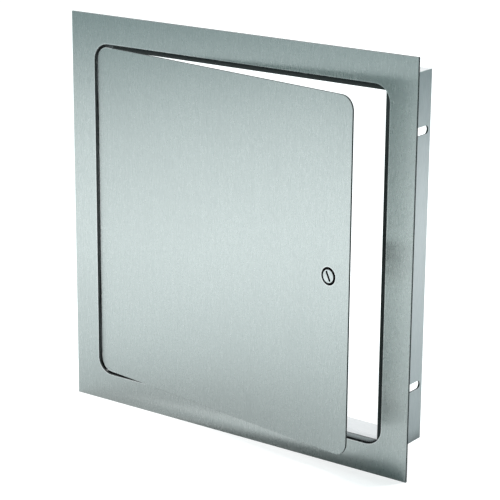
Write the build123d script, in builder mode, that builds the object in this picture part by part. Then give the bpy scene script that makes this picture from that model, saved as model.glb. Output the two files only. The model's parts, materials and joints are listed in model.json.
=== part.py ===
from build123d import *
from math import cos, radians, sin
import os

# Flush access door: a flat face flange with a welded angle frame behind it, a flush sheet door on
# a concealed rod hinge at -X, and a screwdriver cam latch near the door's free edge.
# The flange's back face is the plane Y = 0, the front faces -Y, +Z is up, and the origin is the
# middle of the wall opening. The door is modelled standing open by rest_angle.

# Face flange
flange_size = 355.6
flange_width = 25.4
flange_thickness = 1.9
opening_radius = 14.7

# Frame behind the flange
frame_depth = 50.8
frame_sheet = 1.5
frame_inset = 19.0
stop_width = 4.6
bend_radius = 1.5
hinge_leg_clearance = 0.5
stop_notch_past_rod = 3.0
notch_radius = 2.0

# Fixing slots in the two upright frame walls
slot_length = 19.0
slot_height = 7.2
slot_spacing = 219.0
slot_to_rear_edge = 3.4

# Door
door_thickness = 1.6
door_gap = 2.8
rest_angle = 8.6
edge_rounding = 0.25

# Hinge
rod_radius = 2.0
rod_from_door_edge = 14.0
rod_behind_face = 6.2
running_clearance = 0.05
fixed_clearance = 0.02
thrust_clearance = 0.15
bracket_height = 92.0
bracket_sheet = 3.0
bracket_boss_radius = 4.2
neck_width = 7.0
neck_side = 6.5
neck_back = 4.0
neck_turn = 19.6
neck_bend = 4.0
foot_depth = 22.0
foot_height = 34.0
foot_reach = 8.0
rivet_radius = 2.0
rivet_head_radius = 3.8
rivet_head_height = 1.3
rivet_tail_radius = 3.0
rivet_tail_height = 1.2
rivet_spacing = 16.0
rivet_below_bend = 2.0
lug_sheet = 2.0
lug_boss_radius = 4.3
lug_start = 7.0
lug_end = 26.0
lug_height = 24.0
bush_wall = 0.9
bush_flange = 0.8
bush_flange_radius = 4.1
clip_thickness = 0.8
clip_radius = 4.0
clip_groove = 0.5
clip_gap = 2.2
rod_overhang = 2.0

# Latch
latch_from_door_edge = 22.2
latch_hole_radius = 7.5
latch_head_gap = 1.3
latch_head_proud = 0.3
latch_head_height = 5.0
latch_head_bevel = 0.4
driver_slot_length = 9.4
driver_slot_width = 2.0
driver_slot_depth = 2.2
driver_slot_angle = 27.0
housing_sheet = 1.2
housing_bevel = 0.8
housing_flange_radius = 13.0
housing_depth = 5.6
stud_shank_radius = 4.0
stud_square = 5.6
stud_thread_radius = 2.5
spring_thickness = 0.5
spring_bore_radius = 4.3
spring_gap = 0.8
cam_sheet = 2.0
cam_width = 11.0
cam_reach = 28.0
cam_hub_radius = 7.5
cam_joggle_start = 10.5
cam_joggle_end = 14.5
cam_to_frame = 0.4
lock_washer_radius = 4.6
lock_washer_height = 1.2
nut_across_flats = 8.0
nut_height = 4.0
nut_chamfer = 0.5
nut_clearance = 0.03
thread_past_nut = 1.2
thread_chamfer = 0.5
stop_tab_width = 1.8
stop_tab_length = 2.5
stop_tab_reach = 8.0
stop_tab_gap = 0.3

# Places worked out from the sizes above
opening_size = flange_size - 2 * flange_width
opening_half = opening_size / 2
box_half = flange_size / 2 - frame_inset
stop_leg = flange_width - frame_inset + stop_width
hinge_leg = flange_width - frame_inset - hinge_leg_clearance
door_size = opening_size - 2 * door_gap
door_radius = opening_radius - door_gap
front_face_y = -flange_thickness
rod_x = -opening_half + door_gap + rod_from_door_edge
rod_y = front_face_y + rod_behind_face
door_back = rod_behind_face - door_thickness
latch_x = door_size - rod_from_door_edge - latch_from_door_edge
latch_head_radius = latch_hole_radius - latch_head_gap
spring_radius = latch_hole_radius - spring_gap

inward = {
    "latch_side": Vector(-1, 0, 0),
    "hinge_side": Vector(1, 0, 0),
    "top": Vector(0, 0, -1),
    "bottom": Vector(0, 0, 1),
}
depthwise = Vector(0, 1, 0)

# The door's own plane: X along its width from the rod, Y up, Z out through its front face
swing = radians(rest_angle)
door_plane = Plane(
    origin=(rod_x, rod_y, 0),
    x_dir=(cos(swing), -sin(swing), 0),
    z_dir=(-sin(swing), -cos(swing), 0),
)
latch_centre = door_plane.from_local_coords((latch_x, 0, 0))
turn = radians(driver_slot_angle)
latch_plane = Plane(
    origin=latch_centre,
    x_dir=door_plane.x_dir * cos(turn) + door_plane.y_dir * sin(turn),
    z_dir=door_plane.z_dir,
)
latch_section = Plane(origin=latch_centre, x_dir=latch_plane.y_dir * -1, z_dir=latch_plane.x_dir * -1)
latch_axis = Axis(latch_centre, door_plane.z_dir)

os.makedirs("parts", exist_ok=True)


def save(part, name):
    part.label = name
    export_step(part, f"parts/{name}.step")


# Face flange
with BuildPart() as face_flange:
    with BuildSketch(Plane.XZ):
        Rectangle(flange_size, flange_size)
        RectangleRounded(opening_size, opening_size, opening_radius, mode=Mode.SUBTRACT)
    extrude(amount=flange_thickness)
    fillet(face_flange.faces().sort_by(Axis.Y)[0].edges(), edge_rounding)
save(face_flange.part, "face_flange")


# Frame members: bent angles, mitred at the corners
def side_plane(side):
    """Plane across a member, from its outer front corner: X goes inward and Y goes back."""
    direction = inward[side]
    return Plane(origin=direction * -box_half, x_dir=direction, z_dir=direction.cross(depthwise))


def wall_plane(side):
    """Plane on a member's outer face: X goes back and Y goes along the member."""
    return Plane(origin=inward[side] * -box_half, x_dir=depthwise, z_dir=inward[side] * -1)


def frame_member(side, leg):
    with BuildPart() as member:
        with BuildSketch(side_plane(side)):
            with BuildLine():
                Polyline(
                    (0, 0), (leg, 0), (leg, frame_sheet), (frame_sheet, frame_sheet),
                    (frame_sheet, frame_depth), (0, frame_depth), (0, 0),
                )
            make_face()
        extrude(amount=box_half, both=True)
        along = side_plane(side).z_dir
        along_axis = Axis((0, 0, 0), along)
        corners = member.edges().filter_by(along_axis)
        outer_corner = corners.sort_by_distance(inward[side] * -box_half)[0]
        inner_corner = corners.sort_by_distance(
            inward[side] * (frame_sheet - box_half) + depthwise * frame_sheet
        )[0]
        fillet(outer_corner, bend_radius + frame_sheet)
        fillet(inner_corner, bend_radius)
        for end in (1, -1):
            mitre = Plane(origin=(0, 0, 0), z_dir=inward[side] + along * end)
            split(bisect_by=mitre, keep=Keep.BOTTOM)
    return member


notch_inner = box_half - 2 * stop_leg
notch_outer = box_half - hinge_leg
for side in ("top", "bottom"):
    with BuildPart() as member:
        add(frame_member(side, stop_leg).part)
        # The stop is cut back beside the rod, where the door's hinge edge swings in
        notch_middle = -inward[side].Z * (notch_inner + notch_outer) / 2
        with BuildSketch(Plane.XZ):
            with Locations((rod_x + stop_notch_past_rod - stop_leg, notch_middle)):
                RectangleRounded(2 * stop_leg, notch_outer - notch_inner, notch_radius)
        extrude(amount=-frame_sheet, mode=Mode.SUBTRACT)
    save(member.part, f"frame_{side}")

foot_y = rod_y + neck_turn
rivet_z = bracket_height + bracket_sheet / 2 - foot_height / 2 - rivet_below_bend
for side, leg in (("latch_side", stop_leg), ("hinge_side", hinge_leg)):
    with BuildPart() as member:
        add(frame_member(side, leg).part)
        with BuildSketch(wall_plane(side)):
            with Locations((frame_depth - slot_to_rear_edge - slot_length / 2, 0)):
                with GridLocations(0, slot_spacing, 1, 2):
                    SlotOverall(slot_length, slot_height)
        extrude(amount=-frame_sheet, mode=Mode.SUBTRACT)
        if side == "hinge_side":
            with BuildSketch(wall_plane(side)):
                with Locations((foot_y, rivet_z), (foot_y, -rivet_z)):
                    with GridLocations(0, rivet_spacing, 1, 2):
                        Circle(rivet_radius + fixed_clearance)
            extrude(amount=-frame_sheet, mode=Mode.SUBTRACT)
    save(member.part, f"frame_{side}")


# Hinge brackets: gooseneck arms that reach the rod from behind, past the door's hinge edge
def hinge_bracket(middle, foot_way):
    """Bracket with its arm's mid-plane at height middle and its foot going foot_way, +1 or -1."""
    with BuildPart() as bracket:
        with BuildSketch(Plane(origin=(rod_x, rod_y, middle))):
            with BuildLine():
                FilletPolyline(
                    (0, 0), (neck_side, neck_back), (neck_side, neck_turn), (wall_face_x - rod_x, neck_turn),
                    radius=neck_bend,
                )
            trace(line_width=neck_width)
            Circle(bracket_boss_radius)
            with Locations((wall_face_x - rod_x + foot_reach / 2, neck_turn)):
                Rectangle(foot_reach, foot_depth)
            Circle(rod_radius + fixed_clearance, mode=Mode.SUBTRACT)
        extrude(amount=bracket_sheet / 2, both=True)
        outer_face = middle - foot_way * bracket_sheet / 2
        foot_middle = outer_face + foot_way * foot_height / 2
        with BuildSketch(Plane(origin=(wall_face_x, foot_y, foot_middle), x_dir=(0, 1, 0), z_dir=(1, 0, 0))):
            RectangleRounded(foot_depth, foot_height, notch_radius)
            with Locations((0, -foot_way * foot_height / 4)):
                Rectangle(foot_depth, foot_height / 2)
            with Locations((0, foot_way * rivet_below_bend)):
                with GridLocations(0, rivet_spacing, 1, 2):
                    Circle(rivet_radius + fixed_clearance, mode=Mode.SUBTRACT)
        extrude(amount=bracket_sheet)
        bend_edges = bracket.edges().filter_by(Axis.Y)
        outer_corner = Vector(wall_face_x, foot_y, outer_face)
        inner_corner = outer_corner + Vector(bracket_sheet, 0, foot_way * bracket_sheet)
        outer_bend = bend_edges.sort_by_distance(outer_corner)[0]
        inner_bend = bend_edges.sort_by_distance(inner_corner)[0]
        fillet(outer_bend, bend_radius + bracket_sheet)
        fillet(inner_bend, bend_radius)
    return bracket


wall_face_x = frame_sheet - box_half
for name, way in (("upper", 1), ("lower", -1)):
    bracket = hinge_bracket(way * bracket_height, -way)
    save(bracket.part, f"hinge_bracket_{name}")


# Rivets that hold the brackets to the hinge side's wall
with BuildPart() as bracket_rivets:
    grip = frame_sheet + bracket_sheet
    for middle in (rivet_z, -rivet_z):
        for step in (-rivet_spacing / 2, rivet_spacing / 2):
            centre = Vector(-box_half, foot_y, middle + step)
            with BuildSketch(Plane(origin=centre, x_dir=(1, 0, 0), z_dir=(0, -1, 0))):
                with BuildLine():
                    TangentArc((-rivet_head_height, 0), (0, rivet_head_radius), tangent=(0, 1))
                    Polyline(
                        (0, rivet_head_radius), (0, rivet_radius), (grip, rivet_radius),
                        (grip, rivet_tail_radius), (grip + rivet_tail_height, rivet_tail_radius),
                        (grip + rivet_tail_height, 0), (-rivet_head_height, 0),
                    )
                make_face()
            revolve(axis=Axis(centre, (1, 0, 0)))
save(bracket_rivets.part, "bracket_rivets")

# Hinge rod with a groove near each end, and the clips that sit in them
upper_seat = bracket_height + bracket_sheet / 2
lower_seat = -bracket_height + bracket_sheet / 2
bush_height = bush_flange + lug_sheet + thrust_clearance
clip_tops = {
    "upper": upper_seat + thrust_clearance + bush_height + thrust_clearance + clip_thickness,
    "lower": -bracket_height - bracket_sheet / 2 - thrust_clearance,
}
rod_top = clip_tops["upper"] + rod_overhang
rod_bottom = clip_tops["lower"] - clip_thickness - rod_overhang


def rod_plane(height):
    return Plane(origin=(rod_x, rod_y, height))


with BuildPart() as hinge_rod:
    with BuildSketch(rod_plane(rod_bottom)):
        Circle(rod_radius)
    extrude(amount=rod_top - rod_bottom)
    chamfer(hinge_rod.edges().filter_by(GeomType.CIRCLE), rod_radius / 4)
    for top in clip_tops.values():
        with BuildSketch(rod_plane(top + fixed_clearance)):
            Circle(2 * rod_radius)
            Circle(rod_radius - clip_groove, mode=Mode.SUBTRACT)
        extrude(amount=-clip_thickness - 2 * fixed_clearance, mode=Mode.SUBTRACT)
save(hinge_rod.part, "hinge_rod")

with BuildPart() as rod_clips:
    for top in clip_tops.values():
        with BuildSketch(rod_plane(top)):
            Circle(clip_radius)
            Circle(rod_radius - clip_groove + fixed_clearance, mode=Mode.SUBTRACT)
            with Locations((clip_radius / 2, 0)):
                Rectangle(clip_radius, clip_gap, mode=Mode.SUBTRACT)
        extrude(amount=-clip_thickness)
save(rod_clips.part, "rod_clips")

# Door panel
with BuildPart() as door_panel:
    with BuildSketch(door_plane.offset(rod_behind_face)):
        with Locations((door_size / 2 - rod_from_door_edge, 0)):
            RectangleRounded(door_size, door_size, door_radius)
        with Locations((latch_x, 0)):
            Circle(latch_hole_radius, mode=Mode.SUBTRACT)
    extrude(amount=-door_thickness)
    fillet(door_panel.faces().sort_by(Axis(door_plane.origin, door_plane.z_dir))[-1].edges(), edge_rounding)
save(door_panel.part, "door_panel")

# Door lugs: bent angles on the door's back, with an arm that reaches the rod
bush_radius = rod_radius + running_clearance + bush_wall


def door_lug(bottom):
    """Lug whose arm's lower face is at height bottom."""
    lug_length = lug_end - lug_start
    bend_start = lug_sheet + bend_radius - door_back
    lug_origin = door_plane.from_local_coords((lug_start, 0, 0))
    with BuildPart() as lug:
        with BuildSketch(Plane(origin=lug_origin, x_dir=door_plane.z_dir * -1, z_dir=door_plane.x_dir)):
            with BuildLine():
                FilletPolyline(
                    (lug_boss_radius, bottom + lug_sheet / 2),
                    (lug_sheet / 2 - door_back, bottom + lug_sheet / 2),
                    (lug_sheet / 2 - door_back, bottom + lug_height),
                    radius=bend_radius + lug_sheet / 2,
                )
            trace(line_width=lug_sheet)
        extrude(amount=lug_length)
        with BuildSketch(Plane(origin=(rod_x, rod_y, bottom), x_dir=door_plane.x_dir)):
            with Locations((0, bend_start)):
                Rectangle(lug_end, lug_boss_radius - bend_start, align=(Align.MIN, Align.MIN))
            Circle(lug_boss_radius)
        extrude(amount=lug_sheet)
        with BuildSketch(Plane(origin=(rod_x, rod_y, bottom))):
            Circle(bush_radius + fixed_clearance)
        extrude(amount=lug_sheet, mode=Mode.SUBTRACT)
    return lug


lug_bottoms = {
    "upper": upper_seat + thrust_clearance + bush_flange,
    "lower": lower_seat + thrust_clearance + bush_flange,
}
for name, bottom in lug_bottoms.items():
    lug = door_lug(bottom)
    save(lug.part, f"door_lug_{name}")

with BuildPart() as lug_bushes:
    for bottom in lug_bottoms.values():
        with BuildSketch(rod_plane(bottom)):
            Circle(bush_flange_radius)
        extrude(amount=-bush_flange)
        with BuildSketch(rod_plane(bottom)):
            Circle(bush_radius)
        extrude(amount=bush_height - bush_flange)
        with BuildSketch(rod_plane(bottom - bush_flange)):
            Circle(rod_radius + running_clearance)
        extrude(amount=bush_height, mode=Mode.SUBTRACT)
save(lug_bushes.part, "lug_bushes")

# Latch housing: a drawn cup on the door's back, with two tabs that stop the cam a quarter turn apart
cup_floor = door_back - housing_depth
cup_bottom = cup_floor + housing_sheet
cup_radius = latch_hole_radius + housing_sheet
with BuildPart() as latch_housing:
    with BuildSketch(latch_section):
        with BuildLine():
            Polyline(
                (stud_shank_radius + running_clearance, cup_floor),
                (cup_radius - housing_bevel, cup_floor), (cup_radius, cup_floor + housing_bevel),
                (cup_radius, door_back - housing_sheet), (housing_flange_radius, door_back - housing_sheet),
                (housing_flange_radius, door_back), (latch_hole_radius + housing_bevel, door_back),
                (latch_hole_radius, door_back - housing_bevel), (latch_hole_radius, cup_bottom),
                (stud_shank_radius + running_clearance, cup_bottom),
                (stud_shank_radius + running_clearance, cup_floor),
            )
        make_face()
    revolve(axis=latch_axis)
    cam_side = cam_width / 2 + stop_tab_gap
    tab_plane = Plane(origin=latch_centre, x_dir=door_plane.x_dir, z_dir=door_plane.z_dir)
    with BuildSketch(tab_plane.offset(door_back - housing_sheet)):
        with Locations((stop_tab_reach, cam_side)):
            Rectangle(stop_tab_length, stop_tab_width, align=(Align.MIN, Align.MIN))
        with Locations((-cam_side, -stop_tab_reach)):
            Rectangle(stop_tab_width, stop_tab_length, align=(Align.MAX, Align.MAX))
    extrude(amount=-housing_depth)
save(latch_housing.part, "latch_housing")

# Latch stud: slotted head, round shank, square for the cam, threaded end
head_front = rod_behind_face + latch_head_proud
head_back = head_front - latch_head_height
cam_front = cup_floor - thrust_clearance
cam_back = cam_front - cam_sheet
nut_front = cam_back - lock_washer_height
nut_back = nut_front - nut_height
stud_end = nut_back - thread_past_nut
with BuildPart() as latch_stud:
    with BuildSketch(latch_plane.offset(head_back)):
        Circle(latch_head_radius)
    extrude(amount=latch_head_height)
    chamfer(latch_stud.edges().sort_by(latch_axis)[-1], latch_head_bevel)
    with BuildSketch(latch_plane.offset(head_back)):
        Circle(stud_shank_radius)
    extrude(amount=cam_front - head_back)
    with BuildSketch(latch_plane.offset(cam_front)):
        Rectangle(stud_square, stud_square)
    extrude(amount=-cam_sheet)
    with BuildSketch(latch_plane.offset(cam_back)):
        Circle(stud_thread_radius)
    extrude(amount=stud_end - cam_back)
    chamfer(latch_stud.edges().sort_by(latch_axis)[0], thread_chamfer)
    with BuildSketch(latch_plane.offset(head_front)):
        SlotOverall(driver_slot_length, driver_slot_width, rotation=90)
    extrude(amount=-driver_slot_depth, mode=Mode.SUBTRACT)
save(latch_stud.part, "latch_stud")

# Disc spring between the stud's head and the cup's bottom
with BuildPart() as latch_spring:
    with BuildSketch(latch_section):
        with BuildLine():
            Polyline(
                (spring_bore_radius, head_back),
                (spring_radius, cup_bottom + spring_thickness),
                (spring_radius, cup_bottom),
                (spring_bore_radius, head_back - spring_thickness),
                (spring_bore_radius, head_back),
            )
        make_face()
    revolve(axis=latch_axis)
save(latch_spring.part, "latch_spring")

# Cam: flat hub, and an arm joggled forward to bear on the back of the frame's leg
arm_front = rod_y - frame_sheet - cam_to_frame
with BuildPart() as latch_cam:
    with BuildSketch(latch_section):
        with BuildLine():
            FilletPolyline(
                (-cam_hub_radius, cam_front - cam_sheet / 2),
                (cam_joggle_start, cam_front - cam_sheet / 2),
                (cam_joggle_end, arm_front - cam_sheet / 2),
                (cam_reach, arm_front - cam_sheet / 2),
                radius=cam_sheet,
            )
        trace(line_width=cam_sheet)
    extrude(amount=cam_hub_radius, both=True)
    with BuildSketch(latch_plane.offset(cam_back)):
        Circle(cam_hub_radius)
        with Locations((0, (cam_width / 2 - cam_reach) / 2)):
            Rectangle(cam_width, cam_reach - cam_width / 2)
        with Locations((0, cam_width / 2 - cam_reach)):
            Circle(cam_width / 2)
        Rectangle(stud_square + 2 * fixed_clearance, stud_square + 2 * fixed_clearance, mode=Mode.SUBTRACT)
    extrude(amount=2 * cam_reach, both=True, mode=Mode.INTERSECT)
save(latch_cam.part, "latch_cam")

# Split lock washer between the cam and the nut
with BuildPart() as cam_lock_washer:
    with BuildSketch(latch_plane.offset(cam_back)):
        Circle(lock_washer_radius)
        Circle(stud_thread_radius + running_clearance, mode=Mode.SUBTRACT)
        with Locations((lock_washer_radius / 2, 0)):
            Rectangle(lock_washer_radius, lock_washer_height, mode=Mode.SUBTRACT)
    extrude(amount=-lock_washer_height)
save(cam_lock_washer.part, "cam_lock_washer")

# Nut on the stud's thread, with its corners turned off at both ends
nut_corner_radius = nut_across_flats / 2 / cos(radians(30))
with BuildPart() as cam_nut:
    with BuildSketch(latch_plane.offset(nut_front)):
        RegularPolygon(nut_across_flats / 2, 6, major_radius=False)
        Circle(stud_thread_radius + nut_clearance, mode=Mode.SUBTRACT)
    extrude(amount=-nut_height)
    with BuildSketch(latch_section):
        with BuildLine():
            Polyline(
                (0, nut_front), (nut_across_flats / 2, nut_front),
                (nut_corner_radius, nut_front - nut_chamfer), (nut_corner_radius, nut_back + nut_chamfer),
                (nut_across_flats / 2, nut_back), (0, nut_back), (0, nut_front),
            )
        make_face()
    revolve(axis=latch_axis, mode=Mode.INTERSECT)
save(cam_nut.part, "cam_nut")
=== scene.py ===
import json
from math import cos, pi, radians, sin

import bpy
from mathutils import Matrix, Vector


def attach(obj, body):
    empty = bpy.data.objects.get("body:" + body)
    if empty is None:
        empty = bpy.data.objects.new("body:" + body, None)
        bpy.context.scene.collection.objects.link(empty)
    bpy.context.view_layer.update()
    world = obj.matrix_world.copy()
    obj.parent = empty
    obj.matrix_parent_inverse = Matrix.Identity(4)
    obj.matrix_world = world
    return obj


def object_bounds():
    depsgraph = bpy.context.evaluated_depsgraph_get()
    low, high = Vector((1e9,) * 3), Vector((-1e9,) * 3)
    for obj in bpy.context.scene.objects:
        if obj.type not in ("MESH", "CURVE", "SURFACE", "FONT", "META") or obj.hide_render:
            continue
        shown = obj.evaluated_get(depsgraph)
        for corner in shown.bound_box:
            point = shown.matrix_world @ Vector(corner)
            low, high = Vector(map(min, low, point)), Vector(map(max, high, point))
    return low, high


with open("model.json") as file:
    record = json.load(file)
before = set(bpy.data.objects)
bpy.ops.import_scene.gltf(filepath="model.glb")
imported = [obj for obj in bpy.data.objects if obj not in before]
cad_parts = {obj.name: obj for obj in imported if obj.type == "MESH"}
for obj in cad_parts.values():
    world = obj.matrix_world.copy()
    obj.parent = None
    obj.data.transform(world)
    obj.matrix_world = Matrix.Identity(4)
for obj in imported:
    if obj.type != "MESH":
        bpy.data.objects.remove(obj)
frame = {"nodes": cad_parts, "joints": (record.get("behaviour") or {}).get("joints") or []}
cad_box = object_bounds()
nodes = frame["nodes"]
scene = bpy.context.scene
joints = {joint["name"]: joint for joint in frame["joints"]}
latch_centre = Vector(joints["latch_turn"]["pos_m"])
latch_axis = Vector(joints["latch_turn"]["axis"])
floor_height = cad_box[0].z

# Camera, at the photograph's viewing angle
camera_azimuth = radians(36.03)
camera_elevation = radians(16.30)
camera_roll = radians(0.43)
camera_distance = 1.688
camera_target = Vector((-0.0058, 0.030, -0.0177))
camera_lens = 140.0
sensor_width = 36.0


def direction(azimuth, elevation):
    """Unit vector towards a place seen at that azimuth and elevation, with azimuth 0 towards -Y."""
    return Vector((sin(azimuth) * cos(elevation), -cos(azimuth) * cos(elevation), sin(elevation)))


def add_camera():
    data = bpy.data.cameras.new("camera")
    data.sensor_width = sensor_width
    data.lens = camera_lens
    data.clip_start = 0.05
    data.clip_end = 50
    camera = bpy.data.objects.new("camera", data)
    scene.collection.objects.link(camera)
    back = direction(camera_azimuth, camera_elevation)
    camera.rotation_mode = "QUATERNION"
    turn = (-back).to_track_quat("-Z", "Y").to_matrix() @ Matrix.Rotation(camera_roll, 3, "Z")
    camera.rotation_quaternion = turn.to_quaternion()
    camera.location = camera_target + back * camera_distance
    scene.camera = camera


# Node helpers: a value is a node's output, or plain numbers
def new_material(name):
    material = bpy.data.materials.new(name)
    material.use_nodes = True
    return material, material.node_tree, material.node_tree.nodes["Principled BSDF"]


def feed(tree, socket, value):
    """Give the value to the socket."""
    if isinstance(value, bpy.types.NodeSocket):
        tree.links.new(value, socket)
    elif socket.type == "RGBA":
        socket.default_value = (*value, 1)
    else:
        socket.default_value = value


def coordinates(tree, kind="Object"):
    return tree.nodes.new("ShaderNodeTexCoord").outputs[kind]


def components(tree, vector):
    node = tree.nodes.new("ShaderNodeSeparateXYZ")
    feed(tree, node.inputs["Vector"], vector)
    return node.outputs


def combined(tree, operation, *values):
    node = tree.nodes.new("ShaderNodeMath")
    node.operation = operation
    for socket, value in zip(node.inputs, values):
        feed(tree, socket, value)
    return node.outputs["Value"]


def combined_vectors(tree, operation, *values):
    node = tree.nodes.new("ShaderNodeVectorMath")
    node.operation = operation
    for socket, value in zip(node.inputs, values):
        feed(tree, socket, value)
    return node.outputs["Value" if operation in ("DOT_PRODUCT", "LENGTH") else "Vector"]


def weighted(tree, *parts):
    """The sum of the parts, each of them a value and its weight."""
    total = 0
    for value, weight in parts:
        total = combined(tree, "ADD", total, combined(tree, "MULTIPLY", value, weight))
    return total


def ranged(tree, value, low, high, from_low=0.3, from_high=0.7):
    """The value, carried from the second range to the first and kept within it."""
    node = tree.nodes.new("ShaderNodeMapRange")
    feed(tree, node.inputs["Value"], value)
    feed(tree, node.inputs["From Min"], from_low)
    feed(tree, node.inputs["From Max"], from_high)
    feed(tree, node.inputs["To Min"], low)
    feed(tree, node.inputs["To Max"], high)
    return node.outputs["Result"]


def mixed(tree, factor, first, second, blend="MIX"):
    """The first colour where the factor is 0, and the second, blended that way, where it is 1."""
    node = tree.nodes.new("ShaderNodeMix")
    node.data_type = "RGBA"
    node.blend_type = blend
    feed(tree, node.inputs["Factor"], factor)
    feed(tree, node.inputs["A"], first)
    feed(tree, node.inputs["B"], second)
    return node.outputs["Result"]


def openness(tree, reach, samples):
    """1 in the open, and less the more other surfaces within reach close a place in."""
    node = tree.nodes.new("ShaderNodeAmbientOcclusion")
    node.samples = samples
    feed(tree, node.inputs["Distance"], reach)
    return node.outputs["AO"]


# Floor, world and lamps
white = (1.0, 1.0, 1.0)
blue_green = (0.25, 0.95, 1.0)


def seen_rays(tree):
    """1 for the camera's rays, and 1 for what is mirrored or seen through."""
    rays = tree.nodes.new("ShaderNodeLightPath").outputs
    mirrored = combined(tree, "MAXIMUM", rays["Is Glossy Ray"], rays["Is Transmission Ray"])
    return rays["Is Camera Ray"], mirrored


def add_floor():
    """A white floor with a painted shadow under the object, so that the steel mirrors a soft shade there.
    """
    edge = 12.0
    mesh = bpy.data.meshes.new("floor")
    corners = [(-edge, -edge), (edge, -edge), (edge, edge), (-edge, edge)]
    mesh.from_pydata([(x, y, floor_height) for x, y in corners], [], [(0, 1, 2, 3)])
    floor = bpy.data.objects.new("floor", mesh)
    scene.collection.objects.link(floor)
    material, tree, shader = new_material("floor")
    # Painted shadow: the floor's colour darkens where the object closes it in.
    shade = ranged(tree, openness(tree, reach=0.3, samples=16), 0.37, 0.60, from_low=0.45, from_high=0.95)
    feed(tree, shader.inputs["Base Color"], shade)
    feed(tree, shader.inputs["Roughness"], 0.9)
    feed(tree, shader.inputs["Specular IOR Level"], 0.1)
    feed(tree, shader.inputs["Emission Color"], white)
    # The floor is lifted to white for the camera, a little less beside the object, where its shadow falls,
    # and hardly at all where it is mirrored
    camera_rays, mirrored_rays = seen_rays(tree)
    distance = combined_vectors(tree, "LENGTH", coordinates(tree))
    lift = ranged(tree, distance, 0.74, 1.0, from_low=0.35, from_high=1.6)
    lift = combined(tree, "MULTIPLY", camera_rays, lift)
    lift = weighted(tree, (lift, 1), (mirrored_rays, 0.02))
    feed(tree, shader.inputs["Emission Strength"], lift)
    mesh.materials.append(material)


def add_world():
    """White where it is seen, and a dim blue-green light on the object."""
    world = bpy.data.worlds.new("world")
    scene.world = world
    world.use_nodes = True
    tree = world.node_tree
    sky = tree.nodes["Background"]
    seen = combined(tree, "MAXIMUM", *seen_rays(tree))
    feed(tree, sky.inputs["Color"], mixed(tree, seen, blue_green, white))
    feed(tree, sky.inputs["Strength"], ranged(tree, seen, 0.22, 1.0, from_low=0, from_high=1))


def add_lamp(name, place, aim, size, power, mirrored):
    data = bpy.data.lights.new(name, "AREA")
    data.shape = "DISK"
    data.size = size
    data.energy = power
    lamp = bpy.data.objects.new(name, data)
    scene.collection.objects.link(lamp)
    lamp.location = place
    lamp.rotation_euler = (Vector(aim) - Vector(place)).to_track_quat("-Z", "Y").to_euler()
    lamp.visible_camera = False
    lamp.visible_glossy = mirrored


add_camera()
add_floor()
add_world()
# Three soft boxes hang over the floor that the front and the side wall mirror. They stay out of mirror
# reflections, as the frame's top would glare. One more stands behind.
for name, x, y, height, power in (
    ("front_near", -0.31, -0.35, 0.64, 6.6),
    ("front_far", -0.78, -0.97, 0.89, 15.0),
    ("back_right", 0.60, 0.80, 0.92, 22.0),
):
    add_lamp(name, (x, y, height), (x, y, floor_height), size=0.4, power=power, mirrored=False)
back_left = direction(radians(-144.5), radians(20)) * 2.2
add_lamp("back_left", back_left, (0, 0, 0), size=1.2, power=4.0, mirrored=True)

# Materials, with places in metres and the range that nearly all of a noise lies in
noise_range = (0.36, 0.64)
front_leg_depth = 0.0014
slot_middle, slot_reach = 0.0379, 0.0105
latch_face_radius = 0.0055
painted_edge_highlight = (0.90, 0.93, 0.92)
painted_shade_dark = (0.03, 0.035, 0.035)
painted_shade_black = (0.02, 0.02, 0.02)


def scaled_noise(tree, place, scale, detail, roughness=0.5):
    """Noise over coordinates in metres, at one scale, or stretched by one each along X, Y and Z."""
    mapping = tree.nodes.new("ShaderNodeMapping")
    feed(tree, mapping.inputs["Vector"], place)
    feed(tree, mapping.inputs["Scale"], [scale] * 3 if isinstance(scale, int) else scale)
    noise = tree.nodes.new("ShaderNodeTexNoise")
    feed(tree, noise.inputs["Vector"], mapping.outputs["Vector"])
    feed(tree, noise.inputs["Scale"], 1.0)
    feed(tree, noise.inputs["Detail"], detail)
    feed(tree, noise.inputs["Roughness"], roughness)
    return noise.outputs["Fac"]


def edge_mask(tree, radius, sharpest=0.80):
    """1 along edges, fading to 0 within radius of them, and wider the nearer sharpest is to 1."""
    bevel = tree.nodes.new("ShaderNodeBevel")
    bevel.samples = 4
    feed(tree, bevel.inputs["Radius"], radius)
    flat = tree.nodes.new("ShaderNodeNewGeometry").outputs["Normal"]
    agreement = combined_vectors(tree, "DOT_PRODUCT", bevel.outputs["Normal"], flat)
    return ranged(tree, agreement, 1, 0, sharpest, 0.999)


def painted_crease_shade(tree, colour, reach, low, high, darkest):
    """The colour, darkened as painted shade where other surfaces close in within reach."""
    factor = ranged(tree, openness(tree, reach, samples=8), darkest, 1, low, high)
    return mixed(tree, 1.0, colour, factor, blend="MULTIPLY")


def cut_faces(tree, axis="Y", least=0.9):
    """1 on the narrow faces where a sheet that faces along the axis was cut, and on their rounded edges."""
    facing = combined(tree, "ABSOLUTE", components(tree, coordinates(tree, "Normal"))[axis])
    return combined(tree, "LESS_THAN", facing, least)


def near(tree, centre, half):
    """1 within half of the centre, along X and Z."""
    place = components(tree, coordinates(tree))
    inside = [combined(tree, "COMPARE", place["XZ"[i]], centre[i], half[i]) for i in (0, 1)]
    return combined(tree, "MULTIPLY", *inside)


def painted_shade_parts(tree, leg):
    """1 where painted shade goes: a frame member's front leg or only its cut face, and with slots the
    slots' cut faces too.
    """
    depth = components(tree, coordinates(tree))["Y"]
    front = combined(tree, "LESS_THAN", depth, front_leg_depth)
    if leg == "cut face":
        return combined(tree, "MULTIPLY", front, cut_faces(tree))
    if leg == "whole":
        return front
    slots = combined(tree, "COMPARE", depth, slot_middle, slot_reach)
    slot_faces = combined(tree, "MULTIPLY", slots, cut_faces(tree, axis="X", least=0.5))
    return combined(tree, "MAXIMUM", front, slot_faces)


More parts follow.
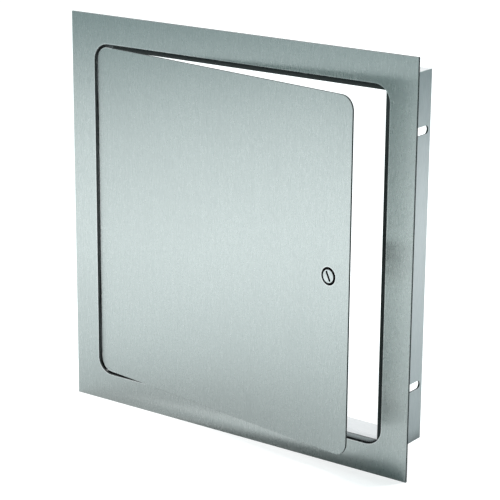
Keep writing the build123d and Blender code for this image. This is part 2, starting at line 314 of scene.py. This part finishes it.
def add_relief(tree, shader, height, strength, depth):
    """Raise and sink the surface by the height map, over a depth in metres."""
    relief = tree.nodes.new("ShaderNodeBump")
    feed(tree, relief.inputs["Strength"], strength)
    feed(tree, relief.inputs["Distance"], depth)
    feed(tree, relief.inputs["Height"], height)
    feed(tree, shader.inputs["Normal"], relief.outputs["Normal"])


def brushed(name, dark, light, rough, grain="Z", leg=None, bright=()):
    """Sheet steel brushed along one axis: fine scratches, wider streaks, cloudy patches and edges lightened
    as a painted highlight.

    For a frame member, leg says how much of its front leg is painted dark as shade, and its hollows are
    darkened as painted shade. A flat sheet has cut faces painted dark as shade instead, and a painted
    highlight on the arris in each of the bright areas, given by centre and half size along X and Z.
    """
    material, tree, shader = new_material(name)
    place = coordinates(tree)

    def stretched(across_scale, along_scale):
        return [along_scale if axis == grain else across_scale for axis in "XYZ"]

    fine = scaled_noise(tree, place, stretched(1400, 160), detail=3, roughness=0.6)
    streaks = scaled_noise(tree, place, stretched(700, 9), detail=3, roughness=0.6)
    clouds = scaled_noise(tree, place, (9, 9, 7), detail=2)
    scratches = weighted(tree, (fine, 0.65), (streaks, 0.15))
    pattern = weighted(tree, (scratches, 1), (clouds, 0.20))
    colour = mixed(tree, ranged(tree, pattern, 0, 1, *noise_range), dark, light)
    if leg is None:
        edges = edge_mask(tree, radius=0.0018, sharpest=0.97)
        # Painted highlight: within each bright area the arris is whitened.
        for centre, half in bright:
            painted_highlight = combined(tree, "MULTIPLY", edges, near(tree, centre, half))
            colour = mixed(tree, painted_highlight, colour, white)
        shade_painted = cut_faces(tree)
    else:
        # Painted highlight: the edges are lightened towards near white.
        edges = combined(tree, "MULTIPLY", edge_mask(tree, radius=0.0006), 0.6)
        colour = mixed(tree, edges, colour, painted_edge_highlight)
        # Painted shade: the colour darkens where other surfaces close in.
        colour = painted_crease_shade(tree, colour, reach=0.03, low=0.70, high=0.99, darkest=0.0)
        shade_painted = painted_shade_parts(tree, leg)
    # Painted shade: cut faces, and the front legs as leg says, take a dark, non-metallic colour.
    feed(tree, shader.inputs["Base Color"], mixed(tree, shade_painted, colour, painted_shade_dark))
    roughness = ranged(tree, pattern, rough + 0.02, rough - 0.02, *noise_range)
    feed(tree, shader.inputs["Roughness"], roughness)
    feed(tree, shader.inputs["Metallic"], combined(tree, "SUBTRACT", 1, shade_painted))
    feed(tree, shader.inputs["Specular IOR Level"], 0.2)
    feed(tree, shader.inputs["Anisotropic"], 0.95)
    feed(tree, shader.inputs["Anisotropic Rotation"], 0.25)
    tangent = tree.nodes.new("ShaderNodeCombineXYZ")
    feed(tree, tangent.inputs[grain], 1.0)
    feed(tree, shader.inputs["Tangent"], tangent.outputs["Vector"])
    add_relief(tree, shader, scratches, strength=0.04, depth=0.00005)
    return material


def plated(name, dark, light, rough):
    """Zinc plate, bare metal or a weld: cloudy colour, fine pits and bright edges."""
    material, tree, shader = new_material(name)
    place = coordinates(tree)
    clouds = scaled_noise(tree, place, 90, detail=4, roughness=0.6)
    pits = scaled_noise(tree, place, 1800, detail=2)
    pattern = weighted(tree, (clouds, 0.75), (pits, 0.25))
    shade = ranged(tree, pattern, 0, 1, *noise_range)
    edge_lightened_tone = combined(tree, "MAXIMUM", shade, edge_mask(tree, radius=0.0005))
    feed(tree, shader.inputs["Base Color"], mixed(tree, edge_lightened_tone, dark, light))
    roughness = ranged(tree, pattern, rough + 0.08, rough - 0.06, *noise_range)
    feed(tree, shader.inputs["Roughness"], roughness)
    feed(tree, shader.inputs["Metallic"], 1.0)
    add_relief(tree, shader, pits, strength=0.2, depth=0.00004)
    return material


def moulded(name, dark, light, rough):
    """Moulded nylon: slightly cloudy, with a fine grain."""
    material, tree, shader = new_material(name)
    place = coordinates(tree)
    clouds = scaled_noise(tree, place, 150, detail=3)
    grain = scaled_noise(tree, place, 2500, detail=2)
    feed(tree, shader.inputs["Base Color"], mixed(tree, ranged(tree, clouds, 0, 1), dark, light))
    feed(tree, shader.inputs["Roughness"], ranged(tree, grain, rough - 0.05, rough + 0.05))
    feed(tree, shader.inputs["Subsurface Weight"], 0.05)
    feed(tree, shader.inputs["Subsurface Radius"], (0.002, 0.002, 0.002))
    add_relief(tree, shader, grain, strength=0.15, depth=0.00005)
    return material


def turned(name, centre, axis, dark, light, rough):
    """Steel faced on a lathe: fine rings about an axis; painted shade blackens the driver slot, bevelled
    rim and side.
    """
    material, tree, shader = new_material(name)
    place = coordinates(tree)
    from_centre = combined_vectors(tree, "SUBTRACT", place, centre)
    round_axis = combined_vectors(tree, "CROSS_PRODUCT", from_centre, axis)
    radius = combined_vectors(tree, "LENGTH", round_axis)
    rings = tree.nodes.new("ShaderNodeTexNoise")
    rings.noise_dimensions = "1D"
    feed(tree, rings.inputs["W"], radius)
    feed(tree, rings.inputs["Scale"], 3500)
    feed(tree, rings.inputs["Detail"], 2)
    clouds = scaled_noise(tree, place, 300, detail=2)
    pattern = weighted(tree, (rings.outputs["Fac"], 0.6), (clouds, 0.4))
    shade = ranged(tree, pattern, 0, 1, *noise_range)
    edge_lightened_tone = combined(tree, "MAXIMUM", shade, edge_mask(tree, radius=0.0004))
    colour = mixed(tree, edge_lightened_tone, dark, light)
    # Painted shade: the driver slot and side go black where surfaces close in.
    colour = painted_crease_shade(tree, colour, reach=0.003, low=0.50, high=0.97, darkest=0.01)
    # Painted shade: beyond the face's radius the bevelled rim and side are black.
    rim = combined(tree, "GREATER_THAN", radius, latch_face_radius)
    feed(tree, shader.inputs["Base Color"], mixed(tree, rim, colour, painted_shade_black))
    roughness = ranged(tree, pattern, rough + 0.05, rough - 0.05, *noise_range)
    feed(tree, shader.inputs["Roughness"], roughness)
    feed(tree, shader.inputs["Metallic"], 1.0)
    feed(tree, shader.inputs["Anisotropic"], 0.5)
    feed(tree, shader.inputs["Tangent"], round_axis)
    add_relief(tree, shader, rings.outputs["Fac"], strength=0.2, depth=0.00004)
    return material


def dress(material, *names):
    for name in names:
        mesh = nodes[name].data
        mesh.materials.clear()
        mesh.materials.append(material)


# Areas of painted highlight along the arris, each a centre and a half size along X and Z
opening_area = ((0, 0), (0.160, 0.160))
hinge_edge_area = ((-0.152, 0), (0.020, 0.160))
latch_area = ((latch_centre.x, latch_centre.z), (0.012, 0.012))

sheet_look = ((0.61, 0.64, 0.63), (0.66, 0.69, 0.68), 0.28)
dress(brushed("satin_steel", *sheet_look, bright=[opening_area]), "face_flange")
dress(brushed("door_steel", *sheet_look, bright=[hinge_edge_area, latch_area]), "door_panel")
frame_look = ((0.54, 0.57, 0.58), (0.62, 0.64, 0.65), 0.32)
# Painted shade: the uprights' and top's whole front legs, and the uprights' slot faces, are dark; the
# bottom only on its cut face.
dress(
    brushed("frame_steel_upright", *frame_look, leg="whole, with slots"),
    "frame_latch_side", "frame_hinge_side",
)
dress(brushed("frame_steel_top", *frame_look, grain="X", leg="whole"), "frame_top")
dress(brushed("frame_steel_bottom", *frame_look, grain="X", leg="cut face"), "frame_bottom")
dress(
    plated("plated_steel", (0.50, 0.51, 0.49), (0.68, 0.68, 0.65), 0.32),
    "hinge_bracket_upper", "hinge_bracket_lower", "door_lug_upper", "door_lug_lower",
    "latch_cam", "cam_nut", "hinge_rod",
)
dress(plated("spring_steel", (0.10, 0.10, 0.11), (0.22, 0.22, 0.23), 0.36), "rod_clips", "cam_lock_washer")
dress(
    plated("black_zinc", (0.012, 0.012, 0.013), (0.04, 0.04, 0.045), 0.40),
    "latch_housing", "latch_spring",
)
dress(plated("rivet_aluminium", (0.68, 0.69, 0.70), (0.84, 0.84, 0.85), 0.34), "bracket_rivets")
dress(moulded("nylon", (0.70, 0.67, 0.57), (0.80, 0.77, 0.68), 0.45), "lug_bushes")
dress(
    turned("latch_steel", latch_centre, latch_axis, (0.56, 0.59, 0.59), (0.76, 0.78, 0.78), 0.24),
    "latch_stud",
)

# Weld beads and spot welds, in millimetres. The rod and the door's angle at rest come from the frame
rod = Vector(joints["door_swing"]["pos_m"]) * 1000
door_angle = -radians(joints["door_swing"]["range_deg"][0])
latch_along = (latch_centre * 1000 - rod).length


def circle(steps):
    """Cosine and sine at even steps of a full turn."""
    return [(cos(2 * pi * i / steps), sin(2 * pi * i / steps)) for i in range(steps)]


def ringed_tube(verts, faces, rings, closed):
    """Add a tube through rings of points to verts and faces, closed into a loop or capped at both ends."""
    first = len(verts)
    sides = len(rings[0])
    for ring in rings:
        verts.extend(point / 1000 for point in ring)
    count = len(rings)
    for i in range(count if closed else count - 1):
        here = first + i * sides
        there = first + (i + 1) % count * sides
        for j in range(sides):
            k = (j + 1) % sides
            faces.append((here + j, here + k, there + k, there + j))
    if not closed:
        faces.append(tuple(range(first + sides - 1, first - 1, -1)))
        faces.append(tuple(range(first + (count - 1) * sides, first + count * sides)))


def bead(verts, faces, start, end, radius):
    """A weld bead from start to end, rippled as a welder lays it and thinner at its ends."""
    ripple_pitch, ripple_height, ring_pitch, sides = 1.8, 0.13, 0.45, 10
    end_thickness, taper_length = 0.25, 1.6 * radius
    along = (end - start).normalized()
    across = along.orthogonal().normalized()
    up = along.cross(across)
    steps = round((end - start).length / ring_pitch)
    rings = []
    for i in range(steps + 1):
        place = start.lerp(end, i / steps)
        from_end = min(i, steps - i) * ring_pitch
        swell = min(1.0, (end_thickness + from_end / taper_length) ** 0.5)
        phase = (i * ring_pitch / ripple_pitch) % 1.0
        size = radius * swell + ripple_height * (1 - (2 * phase - 1) ** 2)
        rings.append([place + (across * c + up * s) * size for c, s in circle(sides)])
    ringed_tube(verts, faces, rings, False)


def spot_ring(verts, faces, centre, normal, radius):
    """The raised ring that an electrode leaves round a spot weld."""
    width, height, steps, sides = 0.45, 0.12, 24, 8
    across = normal.orthogonal().normalized()
    up = normal.cross(across)
    rings = []
    for ring_c, ring_s in circle(steps):
        outward = across * ring_c + up * ring_s
        middle = centre + outward * radius
        rings.append([middle + outward * c * width + normal * s * height for c, s in circle(sides)])
    ringed_tube(verts, faces, rings, True)


def add_piece(name, verts, faces, body, material):
    mesh = bpy.data.meshes.new(name)
    mesh.from_pydata(verts, [], faces)
    mesh.shade_smooth()
    mesh.materials.append(material)
    piece = bpy.data.objects.new(name, mesh)
    scene.collection.objects.link(piece)
    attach(piece, body)


def add_frame_welds(material):
    """Short beads between the flange's back and the frame's walls, and one along each inner corner."""
    verts, faces = [], []
    seam, seam_depth, seam_half_length, seam_radius = 159.3, 1.5, 12.0, 1.7
    for middle in (-100.0, 0.0, 100.0):
        low, high = middle - seam_half_length, middle + seam_half_length
        for side in (-seam, seam):
            for start, end in (
                ((side, seam_depth, low), (side, seam_depth, high)),
                ((low, seam_depth, side), (high, seam_depth, side)),
            ):
                bead(verts, faces, Vector(start), Vector(end), seam_radius)
    corner, corner_front, corner_back, corner_radius = 157.0, 5.0, 48.5, 1.1
    for x in (-corner, corner):
        for z in (-corner, corner):
            bead(verts, faces, Vector((x, corner_front, z)), Vector((x, corner_back, z)), corner_radius)
    add_piece("frame_weld_beads", verts, faces, "frame", material)


def door_point(along, behind, height):
    """A point of the door as it stands at rest, along it and behind the rod."""
    c, s = cos(door_angle), sin(door_angle)
    return rod + Vector((along * c + behind * s, behind * c - along * s, height))


def add_door_welds(material):
    """The rings of spot welds, two on each lug and four round the latch housing's flange."""
    verts, faces = [], []
    backwards = door_point(0, 1, 0) - door_point(0, 0, 0)
    lug_along, lug_back, lug_ring_radius = 17.5, -2.6, 2.4
    for height in (103.5, 113.5, -70.5, -80.5):
        spot_ring(verts, faces, door_point(lug_along, lug_back, height), backwards, lug_ring_radius)
    flange_radius, flange_back, flange_ring_radius = 10.9, -3.4, 1.1
    for quarter in range(4):
        angle = pi / 4 + quarter * pi / 2
        along, height = latch_along + flange_radius * cos(angle), flange_radius * sin(angle)
        spot_ring(verts, faces, door_point(along, flange_back, height), backwards, flange_ring_radius)
    add_piece("door_spot_welds", verts, faces, "door", material)


weld_metal = plated("weld_metal", (0.26, 0.27, 0.28), (0.50, 0.50, 0.49), 0.36)
add_frame_welds(weld_metal)
add_door_welds(weld_metal)

scene.view_settings.view_transform = "Standard"
